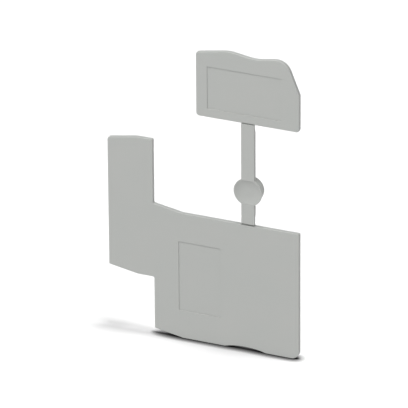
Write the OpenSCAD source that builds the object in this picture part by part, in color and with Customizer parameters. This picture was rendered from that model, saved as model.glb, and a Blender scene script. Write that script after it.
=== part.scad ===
// End cover for a DIN-rail installation terminal block, as moulded: a large L-shaped cover and a
// small cover joined by a flat runner strap, which snaps off at a thin gate at each end.
// Seen from the front, X runs to the right and Z up. The back face, which closes the block, is
// the plane Y = 0, and the front face lies at Y = -plate_t. The origin is the main peg's root.

/* [Plates] */
// Thickness of both covers and of the strap
plate_t = 2.2; // [1.8:0.1:4]
// Length of the slanted run at the end of a long edge
slant_run = 16.8; // [12:0.2:20]
// Rise over one slanted run
slant_rise = 3; // [1:0.1:5]
// Softening radius where a slanted run meets a level edge
slant_r = 4; // [0.5:0.5:8]
// Radius of the sharper outer corners
corner_r = 0.8; // [0.5:0.1:1.5]

/* [Large cover] */
// Width of the body, right of the step below the arm
body_w = 84.6; // [72:0.1:110]
// Height of the body, foot to top edge
body_h = 75.7; // [66:0.1:100]
// Radius of the body's lower right corner
body_foot_r = 4.5; // [1:0.1:8]
// Width of the arm
arm_w = 26.4; // [20:0.1:40]
// Set-back of the arm's inner edge from the step below it
arm_set = 0.2; // [0:0.1:3]
// Height of the arm's top edge above the foot
arm_top = 116.8; // [100:0.1:160]
// Height of the step below the arm
arm_foot = 34.2; // [20:0.1:50]
// Radius of the arm's outer top corner
arm_corner_r = 1.8; // [0.6:0.1:4]
// Width of the shallow arch in the foot
arch_w = 24; // [12:0.5:30]
// Height of the arch
arch_h = 1.6; // [0.5:0.1:2.5]
// Distance from the body's right side to the middle of the arch
arch_x = 31.4; // [24:0.1:36]

/* [Small cover] */
// Width of the small cover
small_w = 59.2; // [56:0.1:64]
// Height of its left side
small_left_h = 37.2; // [34:0.1:50]
// Height of the upright part of its right side
small_right_h = 21.4; // [12:0.1:24]
// Radius of its corners
small_corner_r = 1.8; // [0.6:0.1:3]
// Distance of the crest from the left side
crest_x = 18.9; // [17:0.1:21]
// Height of the crest above the left side's top
crest_rise = 3.3; // [2:0.1:5]
// Rounding of the crest
crest_r = 20; // [5:1:26]
// Distance of the trough from the left side
trough_x = 34.3; // [32:0.1:37]
// Height of the trough above the left side's top
trough_rise = 0.9; // [0:0.1:1.5]
// Rounding of the trough
trough_r = 24; // [5:1:26]
// Distance of the shoulder from the right side
shoulder_in = 7.8; // [5:0.1:9]
// Height of the shoulder above the left side's top
shoulder_rise = 3.9; // [3:0.1:5]
// Rounding of the shoulder
shoulder_r = 8.5; // [2:0.5:10]

/* [Marking fields] */
// Depth of both sunk fields
field_depth = 0.4; // [0.2:0.1:0.9]
// Width of the large cover's field
body_field_w = 24.6; // [10:0.1:28]
// Height of the large cover's field
body_field_h = 41.8; // [10:0.1:46]
// Distance of the large cover's field from the step
body_field_x = 14.5; // [8:0.1:18]
// Distance of the large cover's field from the foot
body_field_z = 16.8; // [10:0.1:18]
// Width of the small cover's field
small_field_w = 42.4; // [20:0.1:46]
// Height of the small cover's field
small_field_h = 24.8; // [10:0.1:28]
// Distance of the small cover's field from its left side
small_field_x = 6.4; // [4:0.1:8]
// Distance of the small cover's field from its lower edge
small_field_z = 5; // [3:0.1:6]

/* [Runner strap] */
// Length of the strap, from one cover to the other
strap_l = 60.2; // [50:0.1:90]
// Width of the strap
strap_w = 7.6; // [5:0.1:9]
// Width of the slit across the front at each end
slit_w = 0.65; // [0.3:0.05:1]
// Thickness of the gate that is left behind each slit
gate_t = 0.4; // [0.3:0.05:0.8]
// How far each slit runs on into the edge of the cover
gate_notch = 0.4; // [0.1:0.05:0.6]
// How far the strap's back is cut away at its ends
relief_t = 0.75; // [0.3:0.05:0.9]
// Length of the cut-away at the lower end
relief_low = 4.7; // [2:0.1:7]
// Length of the cut-away at the upper end
relief_high = 2.8; // [2:0.1:7]
// Length of the ramp from the cut-away to full thickness
relief_ramp = 2; // [0.5:0.1:3]

/* [Gate disc] */
// Radius of the disc at its front
disc_r = 8.2; // [6:0.1:10]
// Radius of the disc at its back
disc_back_r = 7.3; // [5:0.1:8]
// How far the disc stands out behind the strap
disc_out = 4.1; // [1:0.1:5]
// Rounding of the disc's back edge
disc_edge_r = 0.8; // [0.2:0.1:1.5]
// Height of the disc's middle above the large cover
disc_z = 19.7; // [17:0.1:30]
// Width of the flat lip round the dish
dish_lip = 0.6; // [0.3:0.05:2]
// Depth of the dish
dish_depth = 1.2; // [0.3:0.05:1.5]
// Radius of the flat middle of the dish
dish_flat_r = 2.5; // [1:0.1:4]
// Power of the curve of the dish's wall: the higher, the steeper at the lip
dish_curve = 2; // [1:0.5:4]

/* [Locating pegs] */
// Radius of a peg
peg_r = 1.25; // [0.8:0.05:2]
// Length of a peg's round wall
peg_l = 2.6; // [1.5:0.1:5]
// Length and width of the chamfer at a peg's tip
peg_tip = 0.4; // [0.1:0.05:0.6]
// Distance of the pegs from the upright sides
peg_in = 9; // [6:0.1:12]
// Distance of the pegs from the level edges
peg_up = 11; // [8:0.1:14]

/* [Hidden] */

// Light grey of the moulded polyamide
cover_colour = [0.70, 0.71, 0.70];
// How far the segments of a rounded corner may stray from its arc
arc_error = 0.002;
// Segments of the rounding on the disc's back edge
edge_steps = 6;
// Segments of the dish's wall
dish_steps = 10;
// Sides of a full circle
round_fn = 96;
// How far one solid runs into the next, and a cutter past a face
bite = 0.5;

// Places measured from the foot of the step, at the body's lower left
small_x = body_w - small_w;
small_z = body_h + strap_l;
strap_x = small_x + small_w / 2;
arm_left = -arm_set - arm_w;

// Slope of the arch where it leaves the foot, and its radius beside softened ends
arch_slope = 2 * atan(2 * arch_h / arch_w);
arch_r = (arch_w / 2 / cos(arch_slope) - slant_r * tan(arch_slope / 2)) / tan(arch_slope);
arch_peak = arch_w / 2 * tan(arch_slope);

// Outlines run anticlockwise: each corner is [x, z, radius]
body_corners = [
    [0, slant_rise, corner_r],
    [slant_run, 0, slant_r],
    [body_w - arch_x - arch_w / 2, 0, slant_r],
    [body_w - arch_x, arch_peak, arch_r],
    [body_w - arch_x + arch_w / 2, 0, slant_r],
    [body_w, 0, body_foot_r],
    [body_w, body_h, corner_r],
    [slant_run - arm_set, body_h, slant_r],
    [-arm_set, body_h + slant_rise, corner_r],
    [-arm_set, arm_top, corner_r],
    [arm_left + slant_run, arm_top, slant_r],
    [arm_left, arm_top - slant_rise, arm_corner_r],
    [arm_left, arm_foot + slant_rise, corner_r],
    [arm_left + slant_run, arm_foot, slant_r],
    [0, arm_foot, corner_r]
];
small_corners = [
    [0, 0, small_corner_r],
    [small_w, 0, small_corner_r],
    [small_w, small_right_h, corner_r],
    [small_w - shoulder_in, small_left_h + shoulder_rise, shoulder_r],
    [trough_x, small_left_h + trough_rise, trough_r],
    [crest_x, small_left_h + crest_rise, crest_r],
    [0, small_left_h, small_corner_r]
];

// Pegs behind the large cover, the main one first, and behind the small cover
body_pegs = [
    [peg_in, peg_up],
    [body_w - peg_in, peg_up],
    [body_w - peg_in, body_h - peg_up],
    [arm_left + peg_in, arm_foot + slant_rise + peg_up],
    [-arm_set - arm_w / 2, arm_top - slant_rise - peg_up]
];
small_pegs = [[peg_in, peg_up], [small_w - peg_in, peg_up]];

function flat(p) = [p.x, p.y];
function unit(v) = v / norm(v);

// Points of one corner, rounded by an arc that touches both of its edges
function corner_arc(before, at, after, r) =
    let (u = unit(before - at), v = unit(after - at),
         half = acos(u * v) / 2,
         turn = 180 - 2 * half,
         side = sign(cross(at - before, after - at)),
         centre = at + unit(u + v) * r / sin(half),
         start = at + u * r / tan(half) - centre,
         first = atan2(start.y, start.x),
         steps = ceil(turn / (2 * acos(1 - arc_error / r))))
    [for (i = [0:steps]) centre + r * [cos(first + side * turn * i / steps),
                                       sin(first + side * turn * i / steps)]];

// Closed outline with every corner rounded
function outline(corners) =
    let (n = len(corners))
    [for (i = [0:n - 1]) each corner_arc(flat(corners[(i + n - 1) % n]), flat(corners[i]),
                                         flat(corners[(i + 1) % n]), corners[i].z)];

// Flat plate of that outline, from the back face to the front face
module plate(corners) {
    rotate([90, 0, 0]) linear_extrude(plate_t) polygon(outline(corners));
}

// Sunk field in the front face, as a cutter
module field(w, h) {
    translate([0, -plate_t - bite, 0]) cube([w, field_depth + bite, h]);
}

// Notch in a cover's edge in front of its gate, as a cutter that reaches past the edge both ways
module notch() {
    translate([-strap_w / 2, -plate_t - bite, -gate_notch])
        cube([strap_w, plate_t + bite - relief_t - gate_t, 2 * gate_notch]);
}

// Peg on the back face, with a chamfered tip
module peg() {
    rotate([-90, 0, 0]) {
        translate([0, 0, -bite]) cylinder(r = peg_r, h = peg_l + bite, $fn = round_fn);
        translate([0, 0, peg_l]) cylinder(r1 = peg_r, r2 = peg_r - peg_tip, h = peg_tip, $fn = round_fn);
    }
}

// Strap, drawn from the side: a slit across the front leaves a gate at each end, and the back
// is cut away near the ends
module strap() {
    side = [
        [relief_t, -bite],
        [relief_t + gate_t, -bite],
        [relief_t + gate_t, slit_w],
        [plate_t, slit_w],
        [plate_t, strap_l - slit_w],
        [relief_t + gate_t, strap_l - slit_w],
        [relief_t + gate_t, strap_l + bite],
        [relief_t, strap_l + bite],
        [relief_t, strap_l - relief_high],
        [0, strap_l - relief_high - relief_ramp],
        [0, relief_low + relief_ramp],
        [relief_t, relief_low]
    ];
    translate([-strap_w / 2, 0, 0]) rotate([90, 0, 90])
        linear_extrude(strap_w) polygon([for (p = side) [-p.x, p.y]]);
}

// Disc on the strap, turned about its axis: the radius narrows to the rounded back edge
module disc() {
    wall = [for (i = [0:edge_steps])
        let (a = 90 * i / edge_steps)
        [disc_back_r - disc_edge_r * (1 - sin(a)), -disc_out + disc_edge_r * (1 - cos(a))]];
    rotate([90, 0, 0]) rotate_extrude($fn = round_fn)
        polygon(concat([[0, -disc_out]], wall, [[disc_r, plate_t], [0, plate_t]]));
}

// Dish in the disc's front, as a cutter: a flat middle and a wall that curves up to the lip
module dish() {
    rim = disc_r - dish_lip;
    wall = [for (i = [0:dish_steps])
        let (s = i / dish_steps)
        [dish_flat_r + (rim - dish_flat_r) * s, plate_t - dish_depth * (1 - pow(s, dish_curve))]];
    rotate([90, 0, 0]) rotate_extrude($fn = round_fn)
        polygon(concat([[0, plate_t - dish_depth]], wall, [[rim, plate_t + bite], [0, plate_t + bite]]));
}

// The whole moulding, placed with the main peg's root at the origin
module end_cover() {
    color(cover_colour) translate([-peg_in, 0, -peg_up]) {
        difference() {
            plate(body_corners);
            translate([body_field_x, 0, body_field_z]) field(body_field_w, body_field_h);
            translate([strap_x, 0, body_h]) notch();
        }
        translate([small_x, 0, small_z]) difference() {
            plate(small_corners);
            translate([small_field_x, 0, small_field_z]) field(small_field_w, small_field_h);
            translate([small_w / 2, 0, 0]) notch();
        }
        translate([strap_x, 0, body_h]) difference() {
            union() {
                strap();
                translate([0, 0, disc_z]) disc();
            }
            translate([0, 0, disc_z]) dish();
        }
        for (p = body_pegs) translate([p.x, 0, p.y]) peg();
        for (p = small_pegs) translate([small_x + p.x, 0, small_z + p.y]) peg();
    }
}

end_cover();
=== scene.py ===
import math

import bmesh
import bpy
import numpy as np
from mathutils import Matrix, Vector
from mathutils.geometry import delaunay_2d_cdt

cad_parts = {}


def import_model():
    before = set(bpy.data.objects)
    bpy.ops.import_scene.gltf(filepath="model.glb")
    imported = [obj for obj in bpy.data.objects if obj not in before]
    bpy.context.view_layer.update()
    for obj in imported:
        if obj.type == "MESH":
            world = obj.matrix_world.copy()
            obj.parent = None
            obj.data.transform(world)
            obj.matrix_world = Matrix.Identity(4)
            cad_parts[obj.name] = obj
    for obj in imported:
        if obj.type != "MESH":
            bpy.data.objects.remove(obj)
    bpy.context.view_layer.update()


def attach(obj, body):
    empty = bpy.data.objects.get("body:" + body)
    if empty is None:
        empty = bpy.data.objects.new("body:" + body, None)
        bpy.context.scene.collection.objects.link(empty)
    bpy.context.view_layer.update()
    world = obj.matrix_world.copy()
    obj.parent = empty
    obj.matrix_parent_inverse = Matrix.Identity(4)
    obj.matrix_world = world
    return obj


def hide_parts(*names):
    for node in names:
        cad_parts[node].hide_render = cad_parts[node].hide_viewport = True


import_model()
MM = 0.001

# Sizes repeated from the part's source, measured from the foot of the step
PEG_IN, PEG_UP = 9, 11
PLATE_T = 2.2
BODY_W, BODY_H = 84.6, 75.7
ARM_W, ARM_SET, ARM_TOP, ARM_FOOT = 26.4, 0.2, 116.8, 34.2
SLANT_RUN, SLANT_RISE, SLANT_R = 16.8, 3, 4
ARCH_W, ARCH_H, ARCH_X = 24, 1.6, 31.4
SMALL_W, SMALL_LEFT_H, SMALL_RIGHT_H = 59.2, 37.2, 21.4
STRAP_L, STRAP_W = 60.2, 7.6
DISC_Z, DISC_R, DISC_BACK_R, DISC_OUT = 19.7, 8.2, 7.3, 4.1
GATE_T, RELIEF_T, GATE_NOTCH = 0.4, 0.75, 0.4
SMALL_X, SMALL_Z = BODY_W - SMALL_W, BODY_H + STRAP_L
STRAP_X = SMALL_X + SMALL_W / 2
ARM_LEFT = -ARM_SET - ARM_W
ARCH_SLOPE = 2 * math.atan(2 * ARCH_H / ARCH_W)
ARCH_R = (ARCH_W / 2 / math.cos(ARCH_SLOPE) - SLANT_R * math.tan(ARCH_SLOPE / 2)) / math.tan(ARCH_SLOPE)
ARCH_PEAK = ARCH_W / 2 * math.tan(ARCH_SLOPE)

# Outlines run anticlockwise seen from the front: each corner is x, z, radius
BODY = [(0, SLANT_RISE, 0.8), (SLANT_RUN, 0, SLANT_R), (BODY_W - ARCH_X - ARCH_W / 2, 0, SLANT_R),
        (BODY_W - ARCH_X, ARCH_PEAK, ARCH_R), (BODY_W - ARCH_X + ARCH_W / 2, 0, SLANT_R),
        (BODY_W, 0, 4.5), (BODY_W, BODY_H, 0.8), (SLANT_RUN - ARM_SET, BODY_H, SLANT_R),
        (-ARM_SET, BODY_H + SLANT_RISE, 0.8), (-ARM_SET, ARM_TOP, 0.8),
        (ARM_LEFT + SLANT_RUN, ARM_TOP, SLANT_R), (ARM_LEFT, ARM_TOP - SLANT_RISE, 1.8),
        (ARM_LEFT, ARM_FOOT + SLANT_RISE, 0.8), (ARM_LEFT + SLANT_RUN, ARM_FOOT, SLANT_R),
        (0, ARM_FOOT, 0.8)]
# The small cover's upper edge runs over a shoulder, a trough and a crest
SMALL = [(0, 0, 1.8), (SMALL_W, 0, 1.8), (SMALL_W, SMALL_RIGHT_H, 0.8),
         (SMALL_W - 7.8, SMALL_LEFT_H + 3.9, 8.5), (34.3, SMALL_LEFT_H + 0.9, 24),
         (18.9, SMALL_LEFT_H + 3.3, 20), (0, SMALL_LEFT_H, 1.8)]
# Sunk fields: x, z, width, height
BODY_FIELD = (14.5, 16.8, 24.6, 41.8)
SMALL_FIELD = (6.4, 5, 42.4, 24.8)
FIELD_DEPTH, FIELD_R = 0.4, 0.35
# Pegs: x, z
BODY_PEGS = [(PEG_IN, PEG_UP), (BODY_W - PEG_IN, PEG_UP), (BODY_W - PEG_IN, BODY_H - PEG_UP),
             (ARM_LEFT + PEG_IN, ARM_FOOT + SLANT_RISE + PEG_UP),
             (-ARM_SET - ARM_W / 2, ARM_TOP - SLANT_RISE - PEG_UP)]
SMALL_PEGS = [(PEG_IN, PEG_UP), (SMALL_W - PEG_IN, PEG_UP)]
# Witness marks of the ejector pins on the back: x, z
BODY_MARKS = [(21, 24), (63, 30), (42, 58), (-14, 60), (-14, 84)]
SMALL_MARKS = [(12, 27), (47, 24)]
MARK_R = 2.25
# Steps of a mark's edge: inset, depth
MARK_EDGE = np.array([(-0.03, 0), (0, -0.04), (0.03, -0.07)])

# Rounding of the edges on the front and on the back
FRONT_R, BACK_R = 0.45, 0.15


def quarter(steps=5):
    """Sine and 1 - cosine of 0 to 90 degrees: how far a rounded edge has turned and fallen."""
    a = np.linspace(0, math.pi / 2, steps + 1)
    return np.sin(a), 1 - np.cos(a)


def rounded(corners, error=0.002):
    """Outline with rounded corners: each corner is the arc centre + radius * (cos a, sin a) that touches
    both of its edges. Returns its points and their outward normals as (n, 2) arrays of x and z."""
    at = np.array([c[:2] for c in corners], float)
    points, normals = [], []
    for i, (_, _, r) in enumerate(corners):
        u, v = at[i - 1] - at[i], at[(i + 1) % len(at)] - at[i]
        u, v = u / np.linalg.norm(u), v / np.linalg.norm(v)
        half = math.acos(float(u @ v)) / 2
        side = np.sign(u[1] * v[0] - u[0] * v[1])
        centre = at[i] + (u + v) / np.linalg.norm(u + v) * r / math.sin(half)
        start = at[i] + u * r / math.tan(half) - centre
        first, turn = math.atan2(start[1], start[0]), math.pi - 2 * half
        a = first + side * np.linspace(0, turn, 1 + max(2, math.ceil(turn / 2 / math.acos(1 - error / r))))
        ray = np.stack([np.cos(a), np.sin(a)], 1)
        points.append(centre + r * ray)
        normals.append(side * ray)
    return np.concatenate(points), np.concatenate(normals)


def loft(rings):
    """Surface over ring number and place round the ring: quads between each ring and the next.
    rings is a (k, n, 3) array."""
    k, n = rings.shape[:2]
    at = np.arange(k * n).reshape(k, n)
    nxt = np.roll(at, -1, axis=1)
    quads = np.stack([at[:-1], nxt[:-1], nxt[1:], at[1:]], -1).reshape(-1, 4)
    return rings.reshape(-1, 3), quads.tolist()


def inset_rings(outline, insets, depths):
    """Surface over place on the outline and step of an edge profile: the point moved in along its
    normal by the step's inset, at the step's depth y."""
    points, normals = outline
    flat = points[None] - np.asarray(insets)[:, None, None] * normals[None]
    y = np.broadcast_to(np.asarray(depths, float)[:, None], flat.shape[:2])
    return np.stack([flat[..., 0], y, flat[..., 1]], -1)


def cap(loops, y):
    """Flat face at depth y inside the first loop and outside the others, which are convex holes, as
    triangles between the loops' own points. One with all its corners on one hole lies inside it."""
    points = np.concatenate(loops)
    loop_of = np.repeat(np.arange(len(loops)), [len(loop) for loop in loops])
    ends = np.cumsum([len(loop) for loop in loops])
    after = np.arange(1, len(points) + 1)
    after[ends - 1] = ends - [len(loop) for loop in loops]
    edges = np.stack([np.arange(len(points)), after], 1).tolist()
    flat, _, tris, first_ids, *_ = delaunay_2d_cdt([Vector(p) for p in points], edges, [], 1, 1e-6)
    flat, tris = np.array([tuple(p) for p in flat]), np.array(tris)
    on = loop_of[np.array([ids[0] for ids in first_ids])][tris]
    tris = tris[~((on > 0).all(axis=1) & (on == on[:, :1]).all(axis=1))]
    return np.stack([flat[:, 0], np.full(len(flat), y), flat[:, 1]], 1), tris.tolist()


def revolve(profile, x, z, around=128):
    """Surface of revolution about the line through x and z along Y: the point at angle a of the profile
    point (r, y) is (x + r cos a, y, z + r sin a)."""
    r, y = np.asarray(profile, float).T
    a = np.linspace(0, 2 * math.pi, around, endpoint=False)
    rings = np.stack([x + r[:, None] * np.cos(a), np.broadcast_to(y[:, None], (len(r), around)),
                      z + r[:, None] * np.sin(a)], -1)
    return loft(rings)


def solid(name, surfaces):
    """Object of one closed mesh: the surfaces are welded where their points meet, faces outward."""
    verts, faces = [], []
    for v, f in surfaces:
        base = sum(map(len, verts))
        verts.append(v)
        faces += [[base + i for i in face] for face in f]
    where = (np.concatenate(verts) - (PEG_IN, 0, PEG_UP)) * MM
    mesh = bpy.data.meshes.new(name)
    mesh.from_pydata(where.tolist(), [], faces)
    bm = bmesh.new()
    bm.from_mesh(mesh)
    bmesh.ops.remove_doubles(bm, verts=bm.verts, dist=1e-4 * MM)
    bmesh.ops.recalc_face_normals(bm, faces=bm.faces)
    bm.to_mesh(mesh)
    bm.free()
    made = bpy.data.objects.new(name, mesh)
    bpy.context.scene.collection.objects.link(made)
    return made


def ring_loop(rings, i):
    """Ring i of a surface as a flat loop of x and z."""
    return rings[i][:, [0, 2]]


def plate(name, corners, field, marks, x=0.0, z=0.0):
    """A cover: the outline's wall with rounded edges, a sunk field in the front face whose wall leans
    out a little, and flat marks of the ejector pins in the back face."""
    out, fall = quarter()
    outline = rounded([(cx + x, cz + z, r) for cx, cz, r in corners])
    wall = inset_rings(outline,
                       np.concatenate([FRONT_R * (1 - out), BACK_R * fall]),
                       np.concatenate([-PLATE_T + FRONT_R * fall, -BACK_R * (1 - out)]))
    fx, fz, w, h = field
    field_outline = rounded([(x + fx, z + fz, FIELD_R), (x + fx + w, z + fz, FIELD_R),
                             (x + fx + w, z + fz + h, FIELD_R), (x + fx, z + fz + h, FIELD_R)])
    lip, foot, lean = 0.05, 0.08, 0.04
    sunk = inset_rings(field_outline,
                       np.concatenate([-lip * (1 - out), lean + foot * fall]),
                       np.concatenate([-PLATE_T + lip * fall, -PLATE_T + FIELD_DEPTH - foot * (1 - out)]))
    surfaces = [loft(wall), loft(sunk), cap([ring_loop(wall, 0), ring_loop(sunk, 0)], -PLATE_T),
                cap([ring_loop(sunk, -1)], -PLATE_T + FIELD_DEPTH)]
    circles = []
    a = np.linspace(0, 2 * math.pi, 64, endpoint=False)
    ray = np.stack([np.cos(a), np.sin(a)], 1)
    for mx, mz in marks:
        pit = inset_rings((np.array([x + mx, z + mz]) + MARK_R * ray, ray), *MARK_EDGE.T)
        surfaces += [loft(pit), cap([ring_loop(pit, -1)], MARK_EDGE[-1, 1])]
        circles.append(ring_loop(pit, 0))
    surfaces.append(cap([ring_loop(wall, -1), *circles], 0.0))
    return solid(name, surfaces)


def strap(name, z, up, relief, slit):
    """Half of the strap, from a cover's edge into the disc: rounded rectangles along its length u. The
    last one bends to the disc's circle. The first ones are the thin gate, at the slit's foot."""
    ramp, r, gate_r = 2.0, 0.22, 0.05
    into_cover, into_disc = 0.5, 0.4
    out, fall = quarter(4)
    # Stations along the strap: u, half width, front, back and corner radius
    table = [(-into_cover, STRAP_W / 2, -RELIEF_T - GATE_T, -RELIEF_T, gate_r),
             (slit, STRAP_W / 2, -RELIEF_T - GATE_T, -RELIEF_T, gate_r)]
    table += [(slit + r * f, STRAP_W / 2 - r * (1 - o), -PLATE_T + r * (1 - o), -RELIEF_T,
               gate_r + (r - gate_r) * o) for o, f in zip(out, fall)]
    table += [(relief, STRAP_W / 2, -PLATE_T, -RELIEF_T, r),
              (relief + ramp, STRAP_W / 2, -PLATE_T, 0, r)]
    u, half, front, back, corner = np.array(table).T[:, :, None]
    a = np.linspace(0, math.pi / 2, 5)
    turn = np.concatenate([a, a + math.pi / 2, a + math.pi, a + 1.5 * math.pi])[None]
    sx = np.repeat([1, -1, -1, 1], 5)[None]
    sy = np.repeat([1, 1, -1, -1], 5)[None]
    x = sx * (half - corner) + corner * np.cos(turn)
    y = (front + back) / 2 + sy * ((back - front) / 2 - corner) + corner * np.sin(turn)
    along = np.broadcast_to(u, x.shape)
    # The end lies inside the disc's wall, on a circle about the disc's axis
    reach = DISC_Z if up > 0 else STRAP_L - DISC_Z
    end = reach - np.sqrt((DISC_R - into_disc) ** 2 - x[-1] ** 2)
    x, y = np.concatenate([x, x[-1:]]), np.concatenate([y, y[-1:]])
    along = np.concatenate([along, end[None]])
    rings = np.stack([STRAP_X + x, y, z + up * along], -1)
    tips = []
    for ring in (rings[0], rings[-1]):
        middle = ring.mean(axis=0)
        n = len(ring)
        tips.append((np.vstack([ring, middle]), [[i, (i + 1) % n, n] for i in range(n)]))
    return solid(name, [loft(rings), *tips])


def disc(name):
    """The gate disc, turned from one profile: a faint mound 0.06 * (1 + cos), a flat ring, a wall
    depth * (1 - s * s) up to the lip, a rounded lip, a wall that narrows to the back, a rounded back
    edge and a flat sprue mark."""
    out, fall = quarter()
    lip, depth, flat_r, lip_r, edge_r, mound_r = 0.6, 1.7, 2.5, 0.2, 0.8, 1.9
    s = np.linspace(0, 1, 17)
    rim = DISC_R - lip
    mound = np.stack([mound_r * s[1:], -PLATE_T + depth - 0.06 * (1 + np.cos(math.pi * s[1:]))], 1)
    dish = np.stack([flat_r + (rim - flat_r) * s, -PLATE_T + depth * (1 - s * s)], 1)
    front = np.stack([DISC_R - lip_r * (1 - out), -PLATE_T + lip_r * fall], 1)
    back = np.stack([DISC_BACK_R - edge_r * fall, DISC_OUT - edge_r * (1 - out)], 1)
    # Sprue mark: radius, depth
    sprue = [(1.9, DISC_OUT), (1.8, DISC_OUT - 0.3), (0.9, DISC_OUT - 0.3), (0.8, DISC_OUT - 0.1),
             (0.4, DISC_OUT - 0.05), (0, DISC_OUT - 0.12)]
    profile = np.concatenate([[(0, -PLATE_T + depth - 0.12)], mound, dish, front, back, sprue])
    return solid(name, [revolve(profile, STRAP_X, BODY_H + DISC_Z)])


def notches(name):
    """Cutters for the notch in each cover's edge in front of its gate: two boxes."""
    before, foot = -PLATE_T - 0.5, -RELIEF_T - GATE_T
    corners = np.array([[x, y, z] for x in (-1, 1) for y in (before, foot) for z in (-1, 1)])
    corners *= (STRAP_W / 2, 1, GATE_NOTCH)
    faces = [[0, 1, 3, 2], [4, 6, 7, 5], [0, 4, 5, 1], [2, 3, 7, 6], [0, 2, 6, 4], [1, 5, 7, 3]]
    return solid(name, [(corners + (STRAP_X, 0, z), faces) for z in (BODY_H, SMALL_Z)])


def pegs(name):
    """The pegs: each turned from one profile, with a hollow fillet at its root and a chamfered tip."""
    r, length, tip, fillet = 1.25, 2.6, 0.4, 0.3
    ease, root = 0.05, -0.6
    out, fall = quarter()
    profile = np.concatenate([[(0, root), (r + fillet, root)],
                              np.stack([r + fillet * (1 - out), fillet * fall], 1),
                              [(r, length - ease), (r - ease, length)],
                              [(r - tip, length + tip), (0, length + tip)]])
    where = BODY_PEGS + [(SMALL_X + x, SMALL_Z + z) for x, z in SMALL_PEGS]
    return solid(name, [revolve(profile, x, z, 48) for x, z in where])


def moulding():
    """Both covers with their notches cut, united with all other solids into one closed mesh."""
    made = plate("end_cover_moulding", BODY, BODY_FIELD, BODY_MARKS)
    cutter = notches("gate_notches")
    others = [plate("small_cover", SMALL, SMALL_FIELD, SMALL_MARKS, SMALL_X, SMALL_Z), cutter,
              strap("strap_low", BODY_H, 1, 4.7, 0.65), strap("strap_high", SMALL_Z, -1, 2.8, 0.3),
              disc("gate_disc"), pegs("pegs")]
    for other in others:
        step = made.modifiers.new(other.name, "BOOLEAN")
        step.operation = "DIFFERENCE" if other == cutter else "UNION"
        step.object, step.solver = other, "MANIFOLD"
    mesh = bpy.data.meshes.new_from_object(made.evaluated_get(bpy.context.evaluated_depsgraph_get()))
    made.modifiers.clear()
    made.data = mesh
    for other in others:
        bpy.data.objects.remove(other)
    mesh.polygons.foreach_set("use_smooth", np.ones(len(mesh.polygons), bool))
    mesh.set_sharp_from_angle(angle=math.radians(32))
    normals = made.modifiers.new("flat_faces_stay_flat", "WEIGHTED_NORMAL")
    normals.keep_sharp = True
    return made


def linear(hex_colour):
    """Linear RGBA of an sRGB hex colour."""
    c = np.array([int(hex_colour[i:i + 2], 16) / 255 for i in (0, 2, 4)])
    c = np.where(c <= 0.04045, c / 12.92, ((c + 0.055) / 1.055) ** 2.4)
    return (*c.tolist(), 1.0)


def node(tree, kind, inputs=None, **settings):
    """Adds one shader node. An input's value is a socket to link from, or a constant."""
    made = tree.nodes.new(kind)
    for key, value in settings.items():
        setattr(made, key, value)
    for key, value in (inputs or {}).items():
        if isinstance(value, bpy.types.NodeSocket):
            tree.links.new(value, made.inputs[key])
        else:
            made.inputs[key].default_value = value
    return made


def new_material(name):
    """Empty material, its node tree and its output."""
    made = bpy.data.materials.new(name)
    made.use_nodes = True
    made.node_tree.nodes.clear()
    return made, made.node_tree, made.node_tree.nodes.new("ShaderNodeOutputMaterial")


def polyamide():
    """Light grey polyamide from a spark-eroded mould: satin, with a fine grain that breaks up its
    sheen, and a very faint cloudiness where the melt was warmer."""
    made, tree, out = new_material("light_grey_moulded_polyamide")
    where = node(tree, "ShaderNodeTexCoord").outputs["Object"]
    cloud = node(tree, "ShaderNodeTexNoise", {"Vector": where, "Scale": 1 / (22 * MM), "Detail": 2.0})
    # In a colour mix the factor is input 0, the two colours are inputs 6 and 7, and the result is output 2
    colour = node(tree, "ShaderNodeMix", {0: cloud.outputs["Fac"], 6: linear("b3b6b3"), 7: linear("b7b8b5")},
                  data_type="RGBA")
    grain = node(tree, "ShaderNodeTexNoise", {"Vector": where, "Scale": 1 / (0.45 * MM), "Detail": 3.0,
                                              "Roughness": 0.6})
    rough = node(tree, "ShaderNodeMapRange", {"Value": grain.outputs["Fac"], "To Min": 0.5, "To Max": 0.62})
    bump = node(tree, "ShaderNodeBump", {"Height": grain.outputs["Fac"], "Strength": 0.35,
                                         "Distance": 0.02 * MM})
    shader = node(tree, "ShaderNodeBsdfPrincipled",
                  {"Base Color": colour.outputs[2],
                   "Roughness": rough.outputs["Result"], "Normal": bump.outputs["Normal"], "IOR": 1.53})
    tree.links.new(shader.outputs[0], out.inputs["Surface"])
    return made


def studio_floor():
    """White table: to the camera it is white, with painted shade close to the object, where ambient occlusion
    darkens its colour, and darker where the table's own light is hidden; to all else it is an evenly lit
    white surface that throws light back up."""
    made, tree, out = new_material("white_studio_table")
    # Painted shade: ambient occlusion within 4.6 mm, raised to the power 3.8, darkens the glow and the albedo
    # that the camera sees near the object
    painted_shade_occlusion = node(tree, "ShaderNodeAmbientOcclusion", {"Distance": 4.6 * MM}, samples=32)
    painted_shade = node(tree, "ShaderNodeMath", {0: painted_shade_occlusion.outputs["AO"], 1: 3.8}, operation="POWER")
    even = node(tree, "ShaderNodeEmission", {"Color": (1, 1, 1, 1), "Strength": 0.95})
    painted_shade_albedo = node(tree, "ShaderNodeMath", {0: painted_shade.outputs[0], 1: 0.1}, operation="MULTIPLY")
    lit = node(tree, "ShaderNodeBsdfDiffuse", {"Color": painted_shade_albedo.outputs[0]})
    glow = node(tree, "ShaderNodeEmission", {"Color": painted_shade.outputs[0], "Strength": 0.18})
    both = node(tree, "ShaderNodeAddShader", {0: lit.outputs[0], 1: glow.outputs[0]})
    path = node(tree, "ShaderNodeLightPath")
    seen = node(tree, "ShaderNodeMath", {0: path.outputs["Is Camera Ray"], 1: path.outputs["Is Glossy Ray"]},
                operation="MAXIMUM")
    mix = node(tree, "ShaderNodeMixShader", {0: seen.outputs[0], 1: even.outputs[0], 2: both.outputs[0]})
    tree.links.new(mix.outputs[0], out.inputs["Surface"])
    return made


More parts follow.
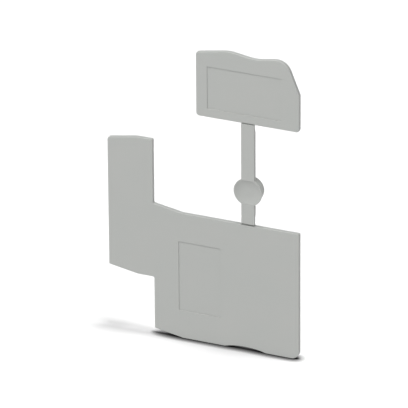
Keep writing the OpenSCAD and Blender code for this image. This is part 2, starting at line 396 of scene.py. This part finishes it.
def floor():
    """A round table far larger than the view, just under the large cover's lower edge."""
    around, radius, below = 96, 3, 0.02
    a = np.linspace(0, 2 * math.pi, around, endpoint=False)
    height = np.full(around, -(PEG_UP + below) * MM)
    mesh = bpy.data.meshes.new("studio_table")
    mesh.from_pydata(np.stack([radius * np.cos(a), radius * np.sin(a), height], 1).tolist(), [],
                     [list(range(around))])
    mesh.materials.append(studio_floor())
    made = bpy.data.objects.new("studio_table", mesh)
    bpy.context.scene.collection.objects.link(made)
    return made


def world(ambient):
    """Even light from all round, seen by the camera as white."""
    made = bpy.data.worlds.new("studio")
    bpy.context.scene.world = made
    made.use_nodes = True
    tree = made.node_tree
    tree.nodes.clear()
    path = node(tree, "ShaderNodeLightPath")
    seen = node(tree, "ShaderNodeMath",
                {0: path.outputs["Is Camera Ray"], 1: path.outputs["Is Transmission Ray"]},
                operation="MAXIMUM")
    strength = node(tree, "ShaderNodeMapRange", {"Value": seen.outputs[0], "To Min": ambient, "To Max": 1.0})
    glow = node(tree, "ShaderNodeBackground", {"Color": (1, 1, 1, 1), "Strength": strength.outputs["Result"]})
    tree.links.new(glow.outputs[0], node(tree, "ShaderNodeOutputWorld").inputs["Surface"])


def aimed(name, data, azimuth, elevation, distance, aim_x=0.02):
    """Puts a lamp at an azimuth and elevation in degrees, aimed at a point 70 mm up."""
    made = bpy.data.objects.new(name, data)
    a, e = math.radians(azimuth), math.radians(elevation)
    back = Vector((math.sin(a) * math.cos(e), -math.cos(a) * math.cos(e), math.sin(e)))
    made.location = Vector((aim_x, 0, 0.07)) + back * distance
    made.rotation_euler = back.to_track_quat("Z", "Y").to_euler()
    bpy.context.scene.collection.objects.link(made)
    return made


def lamp(name, width, height, energy, *place, **aim):
    """A soft rectangular lamp of a size in metres and an energy in watts, placed as aimed() says."""
    data = bpy.data.lights.new(name, "AREA")
    data.shape, data.size, data.size_y, data.energy = "RECTANGLE", width, height, energy
    aimed(name, data, *place, **aim)


def table_light(table, angle, energy, *place):
    """A distant light, as wide as the angle in degrees, which the table alone receives."""
    data = bpy.data.lights.new("table_light", "SUN")
    data.angle, data.energy = math.radians(angle), energy
    receivers = bpy.data.collections.new("table_only")
    receivers.objects.link(table)
    aimed("table_light", data, *place).light_linking.receiver_collection = receivers


def camera():
    """The photograph's view: fitted to the straight edges of both covers."""
    t, e, roll = map(math.radians, (22.753, 26.4, -0.391))
    target, focal_px, px_per_mm = np.array([20.646, -2.192, 72.839]), 5689, 1.862
    back = np.array([math.sin(t) * math.cos(e), -math.cos(t) * math.cos(e), math.sin(e)])
    right = np.array([math.cos(t), math.sin(t), 0])
    up = np.cross(back, right)
    right, up = (math.cos(roll) * right + math.sin(roll) * up, math.cos(roll) * up - math.sin(roll) * right)
    eye = (target + back * focal_px / px_per_mm) * MM
    data = bpy.data.cameras.new("photo_view")
    data.sensor_width, data.lens = 36, focal_px / 408 * 36
    data.clip_start, data.clip_end = 0.5, 20
    made = bpy.data.objects.new("photo_view", data)
    turn = Matrix(np.stack([right, up, back], 1).tolist()).to_4x4()
    made.matrix_world = Matrix.Translation(eye.tolist()) @ turn
    bpy.context.scene.collection.objects.link(made)
    bpy.context.scene.camera = made


cover = moulding()
cover.data.materials.clear()
cover.data.materials.append(polyamide())
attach(cover, "root")
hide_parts("end_cover")

camera()
table = floor()
world(0.25)
# Each lamp ends with its azimuth, elevation and distance
lamp("key", 1.3, 1.3, 47, -14, 60, 2.5)
lamp("overhead", 0.1, 0.08, 1.7, 0, 94, 0.9, aim_x=0.038)
table_light(table, 12, 25, 94, 83.4, 1.0)

bpy.context.scene.view_settings.view_transform = "Standard"
